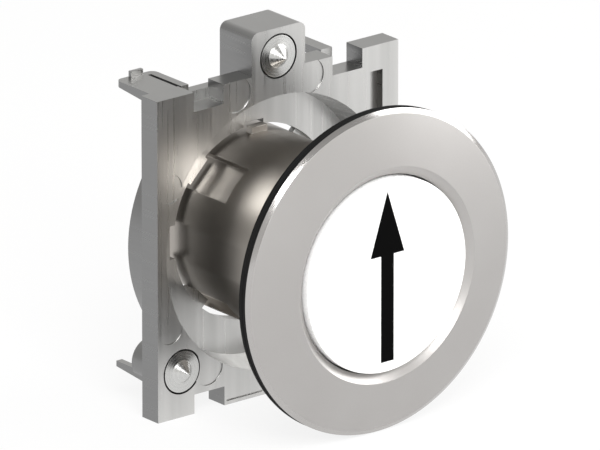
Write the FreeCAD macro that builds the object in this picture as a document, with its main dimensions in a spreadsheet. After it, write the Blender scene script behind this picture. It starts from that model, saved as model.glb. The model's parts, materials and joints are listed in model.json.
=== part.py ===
import FreeCAD, Part

import os
import re

import Sketcher

# Flush panel push-button: a metal bezel with a white cap, on a barrel that carries a clamping holder.
#
# Frame, in millimetres: the button's axis is Y, +Y runs back into the cabinet and +Z is up.
# The origin is where that axis meets the front face of the panel, which the gasket seals against.
# A size named ..._at is a distance along Y from the panel face, positive behind it.

SIZES = [
    # fits
    ("slide_gap", 0.08, "radial clearance between a sliding piece and its guide"),
    ("seat_gap", 0.1, "clearance between a piece and the seat that it is pressed or clipped into"),
    # bezel
    ("bezel_radius", 20.0, "outer radius of the bezel's rim"),
    ("rim_chamfer_width", 0.6, "radial width of the chamfer round the rim"),
    ("rim_chamfer_height", 0.4, "height of that chamfer along the axis"),
    ("bevel_width", 1.1, "radial width of the bevel that leads down to the cap"),
    ("face_height", 3.1, "height of the face's inner edge in front of the panel"),
    ("bevel_depth", 0.9, "depth of that bevel along the axis"),
    ("collar_length", 5.0, "how far the collar reaches behind the panel's front face"),
    ("collar_chamfer", 0.3, "lead-in chamfer at the collar's end"),
    ("collar_wall", 1.2, "wall of the collar round the barrel's flange"),
    ("collar_undercut", 0.3, "depth of the undercut between the rim and the collar's seat in the panel"),
    ("travel_margin", 0.2, "room left in the bezel's front bore behind the pressed cap"),
    # gasket
    ("gasket_thickness", 1.2, "thickness of the panel gasket"),
    ("gasket_setback", 0.2, "how far the gasket's edge stands inside the bezel's rim"),
    ("gasket_groove", 0.15, "depth and half width of the line round the gasket's edge"),
    # cap
    ("cap_radius", 12.0, "radius of the cap"),
    ("cap_gap", 0.2, "gap between the cap and the bezel's bore"),
    ("cap_length", 2.2, "length of the cap's rim"),
    ("cap_wall", 1.2, "thickness of the cap's face and rim"),
    ("cap_edge", 0.25, "rounding of the cap's front edge"),
    ("hub_radius", 3.0, "radius of the hub behind the cap"),
    ("hub_length", 4.4, "length of that hub behind the cap's face"),
    ("button_travel", 3.0, "how far the button is pressed"),
    # arrow
    ("arrow_tip_margin", 1.5, "distance of the arrow's tip from the cap's edge"),
    ("arrow_foot_margin", 1.3, "distance of the shaft's foot from the cap's edge"),
    ("arrow_head_length", 7.9, "length of the arrow's head"),
    ("arrow_head_half", 2.56, "half width of the arrow head"),
    ("arrow_shaft_half", 0.97, "half width of the arrow's shaft"),
    ("arrow_depth", 0.6, "depth of the inlay in the cap's face"),
    # barrel
    ("barrel_radius", 11.5, "outer radius of the barrel"),
    ("barrel_wall", 2.7, "wall of the barrel round its bore"),
    ("barrel_end_margin", 1.1, "how far the barrel reaches behind its circlip"),
    ("barrel_end_chamfer", 0.4, "chamfer at the barrel's rear end"),
    ("neck_height", 1.4, "how far the neck behind the flange stands proud of the barrel"),
    ("flange_height", 0.8, "how far the flange stands proud of the neck"),
    ("flange_length", 1.7, "length of the flange that sits in the collar"),
    ("neck_back_at", 6.2, "rear end of the neck"),
    ("mouth_ledge", 1.6, "how much wider than the bore the seal's pocket in the barrel's mouth is"),
    ("mouth_floor_at", 5.0, "floor of that pocket"),
    ("window_front_at", 15.3, "front end of the four slots in the barrel"),
    ("window_half", 2.45, "half width of a slot"),
    ("window_depth", 1.5, "depth of a slot"),
    ("flat_depth", 0.17, "depth of the two side flats"),
    ("flat_half", 2.1, "half width of a flat"),
    ("key_half", 1.2, "half width of the key on top of the barrel"),
    ("key_height", 0.8, "how far the key stands proud of the barrel"),
    ("key_length", 1.1, "length of the key along the axis"),
    # rings and seals
    ("oring_wire_radius", 0.42, "section radius of the barrel's O-ring"),
    ("oring_groove_depth", 0.9, "depth of its groove in the flange"),
    ("oring_groove_width", 1.0, "width of its groove"),
    ("snap_ring_thickness", 0.6, "thickness of the ring that holds the barrel in the bezel"),
    ("snap_ring_bite", 0.5, "how deep that ring's groove goes into the collar's wall"),
    ("snap_ring_mouth", 4.0, "half width of the ring's opening"),
    ("seal_washer_thickness", 0.6, "thickness of the washer in front of the lip seal"),
    ("seal_groove_width", 1.4, "width of the groove between the seal's lips"),
    ("seal_groove_depth", 0.9, "depth of that groove"),
    # plunger and what guides it
    ("plunger_radius", 5.0, "radius of the plunger's stem"),
    ("plate_gap", 1.8, "room between the cap's rim and the plate that carries the cap"),
    ("plate_thickness", 1.2, "thickness of that plate"),
    ("stop_gap", 0.4, "clearance of the plunger's stop collar in the barrel's bore"),
    ("stop_thickness", 1.2, "thickness of that collar"),
    ("socket_margin", 0.2, "room in the socket beyond the cap's hub"),
    ("bush_wall_gap", 0.1, "clearance of the bushes in the barrel's bore"),
    ("front_bush_length", 5.4, "length of the front guide bush"),
    ("rear_bush_length", 2.2, "length of the rear guide bush"),
    ("bumper_thickness", 0.6, "thickness of the rubber stop washer"),
    ("washer_gap", 0.4, "clearance of the loose washers on the stem"),
    ("spring_gap", 1.15, "clearance of the return spring round the stem"),
    ("spring_wire_radius", 0.45, "radius of the spring's wire"),
    ("spring_pitch", 1.9, "pitch of its turns"),
    ("spring_length", 9.4, "length of the spring at rest"),
    ("spring_seat_thickness", 0.8, "thickness of the washer behind the spring"),
    ("clip_thickness", 0.8, "thickness of the circlip at the barrel's end"),
    ("clip_bite", 0.6, "how deep the circlip's groove goes into the bore's wall"),
    ("clip_reach", 1.2, "how far the circlip reaches into the bore"),
    ("clip_mouth", 2.0, "half width of the circlip's opening"),
    # pusher
    ("plunger_overhang", 0.6, "how far the plunger's end stands behind the barrel"),
    ("pusher_setback", 0.8, "how far the edge of the pusher that works the contacts stands inside the bore"),
    ("pusher_thickness", 1.6, "thickness of the pusher"),
    ("pusher_chamfer", 0.4, "chamfer round the pusher"),
    ("pusher_screw_radius", 1.45, "radius of the pusher's screw"),
    ("pusher_screw_grip", 6.6, "how far that screw goes into the plunger"),
    ("pusher_head_radius", 2.8, "radius of its head"),
    ("pusher_head_height", 1.4, "height of its head"),
    ("screw_slot_half", 0.35, "half width of its driver slot"),
    ("screw_slot_depth", 0.7, "depth of its driver slot"),
    # holder
    ("holder_front_at", 17.3, "front face of the holder's plate"),
    ("holder_thickness", 3.0, "thickness of the plate"),
    ("holder_half_width", 18.3, "half width of the plate"),
    ("holder_half_height", 20.1, "half height of the plate"),
    ("tower_width", 5.5, "width of a corner tower"),
    ("step_outer", 8.24, "half width of the middle steps"),
    ("notch_depth", 2.4, "depth of the notch beside each tower"),
    ("block_half", 4.06, "half width of the top screw block"),
    ("block_rise", 5.35, "how far that block stands above the plate"),
    ("block_depth", 6.0, "depth of that block behind the plate's front"),
    ("block_rounding", 1.0, "rounding of its top corners"),
    ("cup_mouth_radius", 17.0, "radius of the cup at the plate's front"),
    ("cup_floor_radius", 16.4, "radius of the cup at its floor"),
    ("cup_depth", 4.7, "depth of the cup"),
    ("cup_outer_radius", 17.6, "radius of the cup outside"),
    ("cup_floor_thickness", 1.8, "thickness of the cup's floor"),
    ("holder_bore_gap", 0.63, "clearance of the holder's bore round the barrel"),
    ("keyway_gap", 0.3, "clearance round the key in its keyway"),
    ("side_notch_depth", 0.6, "depth of the notch in the bore at each flat"),
    ("lug_gap", 0.6, "clearance of a lug in its slot"),
    ("lug_thickness", 0.8, "thickness of a lug along the axis"),
    ("tower_groove_left", 14.0, "left side of the right tower's groove"),
    ("tower_groove_right", 15.9, "right side of that groove"),
    ("tower_groove_top", 16.9, "top of that groove"),
    ("tower_groove_bottom", 9.0, "distance of its lower end below the middle"),
    ("tower_groove_depth", 1.05, "depth of that groove"),
    ("line_groove_inset", 0.6, "distance of the lower line groove from the plate's lower edge"),
    ("line_groove_half", 7.9, "half length of that groove"),
    ("line_groove_width", 0.3, "width of that groove"),
    ("line_groove_depth", 0.2, "depth of that groove"),
    ("arm_side_inset", 1.4, "distance of an arm's outer side from the plate's side"),
    ("arm_slot", 0.5, "slot between the top arm and its rail"),
    ("arm_top_inset", 0.1, "distance of the top arm's upper side from the plate's top"),
    ("arm_length", 6.7, "length of an arm behind the plate"),
    ("arm_root", 1.4, "thickness of an arm at its root"),
    ("arm_tip", 0.7, "thickness of an arm at its tip"),
    ("arm_bridge", 1.0, "length of the bridge between arm and rail"),
    ("arm_rounding", 0.9, "rounding of the top arm's rear corners"),
    ("nub_inset", 2.0, "distance of the nub on the top arm from that arm's outer side"),
    ("nub_width", 1.8, "width of the nub"),
    ("nub_height", 0.7, "height of the nub"),
    ("nub_thickness", 0.5, "thickness of the nub"),
    ("rail_left_edge", 11.2, "distance of the left rail's inner edge from the middle"),
    ("rail_right_edge", 10.6, "distance of the right rail's outer edge from the middle"),
    ("rail_width", 1.7, "width of a rail"),
    ("web_thickness", 1.5, "thickness of the web that joins the arm and the rails behind the plate"),
    ("web_drop", 1.0, "how far that web's top lies below the arm's"),
    ("web_reach", 1.0, "how far that web reaches under the arm"),
    ("low_arm_inset", 4.9, "distance of a lower arm's upper side from the plate's lower edge"),
    ("mark_depth", 0.12, "depth of the round ejector marks in the plate's front"),
    ("mark_radius", 2.2, "radius of the marks near the plate's upper and lower edges"),
    ("top_mark_left", 6.4, "distance of the upper left mark from the middle"),
    ("top_mark_right", 4.7, "distance of the upper right mark from the middle"),
    ("top_mark_inset", 1.7, "distance of the upper marks' centres from the plate's top"),
    ("low_mark_side", 10.7, "distance of the lower left mark from the middle"),
    ("low_mark_inset", 5.3, "distance of that mark's centre from the plate's lower edge"),
    ("side_mark_radius", 1.8, "radius of the two marks near the plate's left side"),
    ("side_mark_inset", 1.9, "distance of their centres from the plate's side"),
    ("side_mark_height", 8.8, "distance of their centres above and below the middle"),
    # clamp screws
    ("clamp_head_radius", 2.6, "radius of a clamp screw's head"),
    ("clamp_head_length", 2.0, "length of a clamp screw's head"),
    ("clamp_head_gap", 0.2, "gap round a clamp screw's head in its counterbore"),
    ("clamp_shank_radius", 1.5, "radius of a clamp screw's threaded shank"),
    ("cone_radius", 1.45, "radius of the cone point"),
    ("cone_height", 1.45, "height of the cone point"),
    ("clamp_screw_length", 6.9, "length of a clamp screw behind the plate's front"),
    ("hex_half", 0.75, "half of the size across flats of its hexagon socket"),
    ("hex_depth", 1.6, "depth of that socket"),
    ("top_screw_inset", 3.55, "distance of the top screw from the top of its block"),
    ("low_screw_side_inset", 3.64, "distance of a lower screw from the plate's side"),
    ("low_screw_inset", 5.7, "distance of a lower screw from the plate's lower edge"),
    ("boss_radius", 2.7, "radius of the boss round a lower screw"),
    ("boss_depth", 6.2, "depth of that boss behind the plate's front"),
]

doc = FreeCAD.newDocument("panel_push_button")
sheet = doc.addObject("Spreadsheet::Sheet", "Sizes")
for row, (alias, value, meaning) in enumerate(SIZES, 1):
    sheet.set("A%d" % row, str(value))
    sheet.setAlias("A%d" % row, alias)
    sheet.set("B%d" % row, meaning)
doc.recompute()

subparts = []


# ---------------------------------------------------------------- helpers

def bound(text):
    """An expression in which every size name points at the spreadsheet."""
    return re.sub(r"\b[a-z]+(_[a-z]+)+\b", r"Sizes.\g<0>", text)


def size(text):
    """The present value of an expression in size names, in millimetres."""
    return float(sheet.evalExpression(bound(text)))


def new_body(name):
    """A body whose label is the sub-part's name."""
    body = doc.addObject("PartDesign::Body", name)
    body.Label = name
    subparts.append(body)
    return body


def new_sketch(body, plane, at="0", turn=0):
    """A sketch on one of the body's own planes, moved along Y or X to the distance at, turned about its normal."""
    sketch = body.newObject("Sketcher::SketchObject", body.Name + "_sketch")
    origin_plane = [f for f in body.Origin.OriginFeatures if f.Role == plane][0]
    sketch.AttachmentSupport = (origin_plane, [""])
    sketch.MapMode = "FlatFace"
    # the XZ plane's normal points forwards, along -Y
    distance = "-(%s)" % at if plane == "XZ_Plane" else at
    turned_by = FreeCAD.Rotation(FreeCAD.Vector(0, 0, 1), turn)
    sketch.AttachmentOffset = FreeCAD.Placement(FreeCAD.Vector(0, 0, size(distance)), turned_by)
    sketch.setExpression("AttachmentOffset.Base.z", bound(distance))
    return sketch


def pin_point(sketch, line, end, x, y):
    """Ties one end of a line, or a circle's centre, to its coordinates."""
    across = sketch.addConstraint(Sketcher.Constraint("DistanceX", -1, 1, line, end, size(x)))
    sketch.setExpression("Constraints[%d]" % across, bound(x))
    up = sketch.addConstraint(Sketcher.Constraint("DistanceY", -1, 1, line, end, size(y)))
    sketch.setExpression("Constraints[%d]" % up, bound(y))


def draw_outline(sketch, corners):
    """A closed outline of straight lines, each corner given by two expressions."""
    points = [FreeCAD.Vector(size(x), size(y), 0) for x, y in corners]
    first = sketch.GeometryCount
    for start, end in zip(points, points[1:] + points[:1]):
        sketch.addGeometry(Part.LineSegment(start, end))
    for number, (x, y) in enumerate(corners):
        line = first + number
        following = first + (number + 1) % len(corners)
        sketch.addConstraint(Sketcher.Constraint("Coincident", line, 2, following, 1))
        pin_point(sketch, line, 1, x, y)


def draw_circle(sketch, x, y, radius):
    """A circle whose centre and radius are expressions."""
    centre = FreeCAD.Vector(size(x), size(y), 0)
    circle = sketch.addGeometry(Part.Circle(centre, FreeCAD.Vector(0, 0, 1), size(radius)))
    pin_point(sketch, circle, 3, x, y)
    ruled = sketch.addConstraint(Sketcher.Constraint("Radius", circle, size(radius)))
    sketch.setExpression("Constraints[%d]" % ruled, bound(radius))


def rectangle(left, right, bottom, top):
    """The four corners of a rectangle, as expressions."""
    return [(left, bottom), (right, bottom), (right, top), (left, top)]


def revolve(body, kind, corners):
    """Turns an outline of (radius, distance along Y) round the Y axis, as a Revolution or a Groove."""
    sketch = new_sketch(body, "XY_Plane")
    draw_outline(sketch, corners)
    feature = body.newObject("PartDesign::" + kind, body.Name + "_" + kind.lower())
    feature.Profile = sketch
    feature.ReferenceAxis = (sketch, ["V_Axis"])
    feature.Angle = 360
    return feature


def turned_piece(name, corners):
    """A sub-part that is one turned profile."""
    body = new_body(name)
    revolve(body, "Revolution", corners)
    return body


def extrude(body, kind, draw, at, depth, turn=0):
    """Pads or pockets, rearwards from the distance at, what draw puts into the sketch."""
    sketch = new_sketch(body, "XZ_Plane", at, turn)
    draw(sketch)
    feature = body.newObject("PartDesign::" + kind, body.Name + "_" + kind.lower())
    feature.Profile = sketch
    feature.Length = size(depth)
    feature.setExpression("Length", bound(depth))
    # the plane's normal points forwards, so a pad is reversed and a pocket is not
    feature.Reversed = kind == "Pad"
    return feature


def pad(body, corners, at, depth, turn=0):
    return extrude(body, "Pad", lambda sketch: draw_outline(sketch, corners), at, depth, turn)


def pocket(body, corners, at, depth, turn=0):
    return extrude(body, "Pocket", lambda sketch: draw_outline(sketch, corners), at, depth, turn)


def round_pad(body, x, y, radius, at, depth):
    return extrude(body, "Pad", lambda sketch: draw_circle(sketch, x, y, radius), at, depth)


def round_pocket(body, x, y, radius, at, depth):
    return extrude(body, "Pocket", lambda sketch: draw_circle(sketch, x, y, radius), at, depth)


def repeat_round(body, feature, count):
    """Repeats a feature evenly round the Y axis."""
    pattern = body.newObject("PartDesign::PolarPattern", body.Name + "_pattern")
    pattern.Originals = [feature]
    pattern.Axis = (feature.Profile[0], ["N_Axis"])
    pattern.Angle = 360
    pattern.Occurrences = count
    body.Tip = pattern
    return pattern


def edges_along(body, direction, x, y, z, near=0.05):
    """Names of the tip's straight edges that run along a direction through the given point."""
    doc.recompute()
    names = []
    for number, edge in enumerate(body.Tip.Shape.Edges, 1):
        if edge.Curve.TypeId != "Part::GeomLine" or abs(edge.Curve.Direction.dot(direction)) < 0.999:
            continue
        apart = edge.CenterOfMass - FreeCAD.Vector(x, y, z)
        if (apart - direction * apart.dot(direction)).Length < near:
            names.append("Edge%d" % number)
    return names


def dress(body, kind, edges, amount):
    """A Fillet or a Chamfer on named edges, sized by an expression."""
    base = body.Tip
    feature = body.newObject("PartDesign::" + kind, body.Name + "_" + kind.lower())
    feature.Base = (base, edges)
    prop = "Radius" if kind == "Fillet" else "Size"
    setattr(feature, prop, size(amount))
    feature.setExpression(prop, bound(amount))
    body.Tip = feature
    return feature


def ring(name, inner, outer, front, back):
    """A plain ring between two radii and two distances along Y."""
    return turned_piece(name, rectangle(inner, outer, front, back))


# ---------------------------------------------------------------- radii that follow from the barrel and the cap

NECK = "barrel_radius + neck_height"
FLANGE_RADIUS = NECK + " + flange_height"
COLLAR_BORE = FLANGE_RADIUS + " + seat_gap"
COLLAR = COLLAR_BORE + " + collar_wall"
UNDERCUT = COLLAR + " - collar_undercut"
GASKET_RADIUS = "bezel_radius - gasket_setback"
BARREL_BORE = "barrel_radius - barrel_wall"
MOUTH = BARREL_BORE + " + mouth_ledge"
WINDOW_FLOOR = "barrel_radius - window_depth"
HOLDER_BORE = "barrel_radius + holder_bore_gap"
STOP_RADIUS = BARREL_BORE + " - stop_gap"
PUSHER_RADIUS = BARREL_BORE + " - pusher_setback"
CLIP_INNER = BARREL_BORE + " - clip_reach"
SPRING_RADIUS = "plunger_radius + spring_gap + spring_wire_radius"
PLATE_RADIUS = "cap_radius - cap_wall - plate_gap"
BORE = "cap_radius + cap_gap"
FACE_INNER = BORE + " + bevel_width"

# ---------------------------------------------------------------- where things are along Y

FACE = "-face_height"
GASKET_FRONT = "-gasket_thickness"
CAP_BACK = "cap_length - face_height"
CAP_ROOM = CAP_BACK + " + button_travel + travel_margin"
BARREL_FRONT = CAP_ROOM + " + seat_gap"
FLANGE_BACK = BARREL_FRONT + " + flange_length"
PLATE_FRONT = "cap_wall - face_height"
PLATE_BACK = PLATE_FRONT + " + plate_thickness"
SEAL_WASHER_FRONT = BARREL_FRONT + " + 2 * seat_gap"
SEAL_FRONT = SEAL_WASHER_FRONT + " + seal_washer_thickness"
BUSH_FRONT = "mouth_floor_at + seat_gap"
BUSH_BACK = BUSH_FRONT + " + front_bush_length"
BUMPER_BACK = BUSH_BACK + " + bumper_thickness"
STOP_FRONT = BUMPER_BACK + " + seat_gap"
STOP_BACK = STOP_FRONT + " + stop_thickness"
SPRING_FRONT = STOP_BACK + " + seat_gap"
SPRING_BACK = SPRING_FRONT + " + spring_length"
SEAT_FRONT = SPRING_BACK + " + seat_gap"
SEAT_BACK = SEAT_FRONT + " + spring_seat_thickness"
REAR_BUSH_BACK = SEAT_BACK + " + rear_bush_length"
CLIP_FRONT = REAR_BUSH_BACK + " + seat_gap"
CLIP_BACK = CLIP_FRONT + " + clip_thickness"
BARREL_BACK = CLIP_BACK + " + barrel_end_margin"
PLUNGER_BACK = BARREL_BACK + " + plunger_overhang"
PUSHER_BACK = PLUNGER_BACK + " + pusher_thickness"
CUP_FLOOR = "holder_front_at + cup_depth"
CUP_BACK = CUP_FLOOR + " + cup_floor_thickness"
PLATE_REAR = "holder_front_at + holder_thickness"

# ---------------------------------------------------------------- where the holder's features are in X and Z

TOWER_INNER = "holder_half_width - tower_width"
ARM_OUTER = "holder_half_width - arm_side_inset"
ARM_TOP = "holder_half_height - arm_top_inset"
NOTCH_FLOOR = "holder_half_height - notch_depth"
BLOCK_TOP = "holder_half_height + block_rise"


# ---------------------------------------------------------------- the button head

def front_bezel():
    """The satin metal bezel: a shallow cone, a bevel down to the cap, and the collar behind it."""
    body = new_body("front_bezel")
    revolve(body, "Revolution", [
        (BORE, "bevel_depth - face_height"),
        (FACE_INNER, FACE),
        ("bezel_radius - rim_chamfer_width", "-gasket_thickness - rim_chamfer_height"),
        ("bezel_radius", GASKET_FRONT),
        (UNDERCUT, GASKET_FRONT),
        (UNDERCUT, "0"),
        (COLLAR, "0"),
        (COLLAR, "collar_length - collar_chamfer"),
        (COLLAR + " - collar_chamfer", "collar_length"),
        (COLLAR_BORE, "collar_length"),
        (COLLAR_BORE, CAP_ROOM),
        (BORE, CAP_ROOM),
    ])
    groove_front = FLANGE_BACK + " + seat_gap"
    revolve(body, "Groove", rectangle(
        COLLAR_BORE + " - seat_gap",
        COLLAR_BORE + " + snap_ring_bite",
        groove_front,
        groove_front + " + snap_ring_thickness + seat_gap",
    ))


def panel_gasket():
    """The rubber gasket between the bezel and the panel, with a fine line round its edge."""
    inner = COLLAR + " + seat_gap"
    middle = "-gasket_thickness / 2"
    turned_piece("panel_gasket", [
        (inner, GASKET_FRONT),
        (GASKET_RADIUS, GASKET_FRONT),
        (GASKET_RADIUS, middle + " - gasket_groove"),
        (GASKET_RADIUS + " - gasket_groove", middle),
        (GASKET_RADIUS, middle + " + gasket_groove"),
        (GASKET_RADIUS, "0"),
        (inner, "0"),
    ])


def barrel():
    """The barrel: flange in the bezel's collar, key on top, four slots for the holder's lugs, two flats."""
    body = new_body("barrel")
    end_inner = "barrel_radius - barrel_end_chamfer"
    revolve(body, "Revolution", [
        (MOUTH, BARREL_FRONT),
        (FLANGE_RADIUS, BARREL_FRONT),
        (FLANGE_RADIUS, FLANGE_BACK),
        (NECK, FLANGE_BACK),
        (NECK, "neck_back_at"),
        ("barrel_radius", "neck_back_at"),
        ("barrel_radius", BARREL_BACK + " - barrel_end_chamfer"),
        (end_inner, BARREL_BACK),
        (BARREL_BORE, BARREL_BACK),
        (BARREL_BORE, "mouth_floor_at"),
        (MOUTH, "mouth_floor_at"),
    ])
    groove_front = "(%s + %s) / 2 - oring_groove_width / 2" % (BARREL_FRONT, FLANGE_BACK)
    revolve(body, "Groove", rectangle(
        FLANGE_RADIUS + " - oring_groove_depth",
        FLANGE_RADIUS + " + seat_gap",
        groove_front,
        groove_front + " + oring_groove_width",
    ))
    revolve(body, "Groove", rectangle(
        BARREL_BORE + " - seat_gap",
        BARREL_BORE + " + clip_bite",
        REAR_BUSH_BACK + " + seat_gap / 2",
        CLIP_BACK + " + seat_gap / 2",
    ))
    beyond = "barrel_radius + barrel_end_chamfer"
    pad(body, rectangle("-key_half", "key_half", WINDOW_FLOOR, "barrel_radius + key_height"),
        CUP_FLOOR + " - seat_gap - key_length", "key_length")
    slot = pocket(body, rectangle("-window_half", "window_half", WINDOW_FLOOR, beyond),
                  "window_front_at", BARREL_BACK + " - window_front_at + barrel_end_chamfer", 45)
    repeat_round(body, slot, 4)
    flat = pocket(body, rectangle("barrel_radius - flat_depth", beyond, "-flat_half", "flat_half"),
                  "neck_back_at", BARREL_BACK + " - neck_back_at + barrel_end_chamfer")
    repeat_round(body, flat, 2)


def barrel_o_ring():
    """The O-ring in the flange's groove, which seals the barrel to the bezel."""
    body = new_body("barrel_o_ring")
    sketch = new_sketch(body, "XY_Plane")
    middle = "(%s + %s) / 2" % (BARREL_FRONT, FLANGE_BACK)
    draw_circle(sketch, COLLAR_BORE + " - oring_wire_radius - seat_gap / 4", middle, "oring_wire_radius")
    feature = body.newObject("PartDesign::Revolution", "barrel_o_ring_revolution")
    feature.Profile = sketch
    feature.ReferenceAxis = (sketch, ["V_Axis"])
    feature.Angle = 360


def bezel_snap_ring():
    """The open ring in the collar's groove, which holds the barrel in the bezel."""
    front = FLANGE_BACK + " + 1.5 * seat_gap"
    body = ring("bezel_snap_ring", NECK + " + seat_gap", COLLAR_BORE + " + snap_ring_bite - seat_gap",
                front, front + " + snap_ring_thickness")
    pocket(body, rectangle("-snap_ring_mouth", "snap_ring_mouth", "-(%s)" % COLLAR, "-(%s) / 2" % NECK),
           CAP_ROOM, "collar_length")


def button_cap():
    """The white cap: a shallow dish with a hub behind it and a recess for the arrow."""
    body = new_body("button_cap")
    cap_inside = PLATE_FRONT
    revolve(body, "Revolution", [
        ("0", FACE),
        ("cap_radius - cap_edge", FACE),
        ("cap_radius", FACE + " + cap_edge"),
        ("cap_radius", CAP_BACK),
        ("cap_radius - cap_wall", CAP_BACK),
        ("cap_radius - cap_wall", cap_inside),
        ("hub_radius", cap_inside),
        ("hub_radius", cap_inside + " + hub_length"),
        ("0", cap_inside + " + hub_length"),
    ])
    pocket(body, arrow_corners(), FACE, "arrow_depth")


def arrow_corners():
    """The upright arrow: a triangular head on a straight shaft."""
    tip = "cap_radius - arrow_tip_margin"
    head_base = tip + " - arrow_head_length"
    foot = "arrow_foot_margin - cap_radius"
    return [
        ("-arrow_shaft_half", foot),
        ("arrow_shaft_half", foot),
        ("arrow_shaft_half", head_base),
        ("arrow_head_half", head_base),
        ("0", tip),
        ("-arrow_head_half", head_base),
        ("-arrow_shaft_half", head_base),
    ]


def arrow_legend():
    """The black arrow, moulded flush into the cap's face."""
    body = new_body("arrow_legend")
    pad(body, arrow_corners(), FACE, "arrow_depth")


def seal_washer():
    """The washer that keeps the lip seal in the barrel's mouth."""
    ring("seal_washer", "plunger_radius + washer_gap", MOUTH + " - seat_gap", SEAL_WASHER_FRONT, SEAL_FRONT)


def lip_seal():
    """The rubber seal that wipes the plunger, with a groove between its two lips."""
    inner = "plunger_radius + slide_gap"
    middle = "(%s + plunger_radius) / 2" % MOUTH
    back = "mouth_floor_at - seat_gap"
    turned_piece("lip_seal", [
        (inner, SEAL_FRONT),
        (middle + " - seal_groove_width / 2", SEAL_FRONT),
        (middle, SEAL_FRONT + " + seal_groove_depth"),
        (middle + " + seal_groove_width / 2", SEAL_FRONT),
        (MOUTH + " - seat_gap", SEAL_FRONT),
        (MOUTH + " - seat_gap", back),
        (inner, back),
    ])


def plunger():
    """The plunger: a plate under the cap, a stem in two bushes, and the stop collar that the spring pushes."""
    socket_floor = PLATE_FRONT + " + hub_length + socket_margin"
    socket_radius = "hub_radius + seat_gap / 2"
    screw_radius = "pusher_screw_radius + seat_gap / 2"
    screw_floor = PLUNGER_BACK + " - pusher_screw_grip - socket_margin"
    turned_piece("plunger", [
        (socket_radius, PLATE_FRONT),
        (PLATE_RADIUS, PLATE_FRONT),
        (PLATE_RADIUS, PLATE_BACK),
        ("plunger_radius", PLATE_BACK),
        ("plunger_radius", STOP_FRONT),
        (STOP_RADIUS, STOP_FRONT),
        (STOP_RADIUS, STOP_BACK),
        ("plunger_radius", STOP_BACK),
        ("plunger_radius", PLUNGER_BACK),
        (screw_radius, PLUNGER_BACK),
        (screw_radius, screw_floor),
        ("0", screw_floor),
        ("0", socket_floor),
        (socket_radius, socket_floor),
    ])


def front_guide_bush():
    """The long bush that guides the plunger at the front of the barrel."""
    ring("front_guide_bush", "plunger_radius + slide_gap", BARREL_BORE + " - bush_wall_gap",
         BUSH_FRONT, BUSH_BACK)


def stop_bumper():
    """The rubber washer that the stop collar comes back against."""
    ring("stop_bumper", "plunger_radius + washer_gap", BARREL_BORE + " - washer_gap", BUSH_BACK, BUMPER_BACK)


def return_spring():
    """The coil spring that returns the button: a round wire swept along a helix round the Y axis, turn by turn."""
    middle = SPRING_FRONT + " + spring_wire_radius"
    helix = doc.addObject("Part::Helix", "spring_line")
    helix.setExpression("Pitch", bound("spring_pitch"))
    helix.setExpression("Height", bound("spring_length - 2 * spring_wire_radius"))
    helix.setExpression("Radius", bound(SPRING_RADIUS))
    helix.SegmentLength = 1
    helix.Placement.Rotation = FreeCAD.Rotation(FreeCAD.Vector(1, 0, 0), -90)
    helix.setExpression("Placement.Base.y", bound(middle))
    wire = doc.addObject("Part::Circle", "spring_wire")
    wire.setExpression("Radius", bound("spring_wire_radius"))
    wire.setExpression("Placement.Base.x", bound(SPRING_RADIUS))
    wire.setExpression("Placement.Base.y", bound(middle))
    doc.recompute()
    spring = doc.addObject("Part::Sweep", "return_spring")
    spring.Label = "return_spring"
    spring.Sections = [wire]
    spring.Spine = (helix, [])
    spring.Solid = True
    spring.Frenet = True
    subparts.append(spring)


def spring_seat():
    """The steel washer that the spring's fixed end stands on."""
    ring("spring_seat", "plunger_radius + washer_gap", BARREL_BORE + " - bush_wall_gap", SEAT_FRONT, SEAT_BACK)


def rear_guide_bush():
    """The short bush that guides the plunger at the barrel's rear end."""
    ring("rear_guide_bush", "plunger_radius + slide_gap", BARREL_BORE + " - bush_wall_gap",
         SEAT_BACK, REAR_BUSH_BACK)


def barrel_circlip():
    """The circlip in the barrel's bore that holds the rear bush against the spring."""
    body = ring("barrel_circlip", CLIP_INNER, BARREL_BORE + " + clip_bite - seat_gap", CLIP_FRONT, CLIP_BACK)
    pocket(body, rectangle("-clip_mouth", "clip_mouth", "-barrel_radius", "-(%s) / 2" % CLIP_INNER),
           CLIP_FRONT + " - seat_gap", "clip_thickness + 2 * seat_gap")


def pusher():
    """The disc on the plunger's end that works the contact blocks."""
    hole = "pusher_screw_radius + seat_gap"
    turned_piece("pusher", [
        (hole, PLUNGER_BACK),
        (PUSHER_RADIUS, PLUNGER_BACK),
        (PUSHER_RADIUS, PUSHER_BACK + " - pusher_chamfer"),
        (PUSHER_RADIUS + " - pusher_chamfer", PUSHER_BACK),
        (hole, PUSHER_BACK),
    ])


def pusher_screw():
    """The slotted screw that fastens the pusher to the plunger."""
    head_back = PUSHER_BACK + " + pusher_head_height"
    body = turned_piece("pusher_screw", [
        ("0", PLUNGER_BACK + " - pusher_screw_grip"),
        ("pusher_screw_radius", PLUNGER_BACK + " - pusher_screw_grip"),
        ("pusher_screw_radius", PUSHER_BACK),
        ("pusher_head_radius", PUSHER_BACK),
        ("pusher_head_radius", head_back),
        ("0", head_back),
    ])
    slot = rectangle("-2 * pusher_head_radius", "2 * pusher_head_radius", "-screw_slot_half", "screw_slot_half")
    pocket(body, slot, head_back + " - screw_slot_depth", "2 * screw_slot_depth")


# ---------------------------------------------------------------- the holder and its clamp screws

def plate_corners():
    """The plate's outline: four corner towers, a notch beside each, and a middle step above and below."""
    quarter = [
        ("holder_half_width", "holder_half_height"),
        (TOWER_INNER, "holder_half_height"),
        (TOWER_INNER, NOTCH_FLOOR),
        ("step_outer", NOTCH_FLOOR),
        ("step_outer", "holder_half_height"),
    ]
    upper = quarter + [("-(%s)" % x, z) for x, z in reversed(quarter)]
    return upper + [(x, "-(%s)" % z) for x, z in reversed(upper)]


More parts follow.
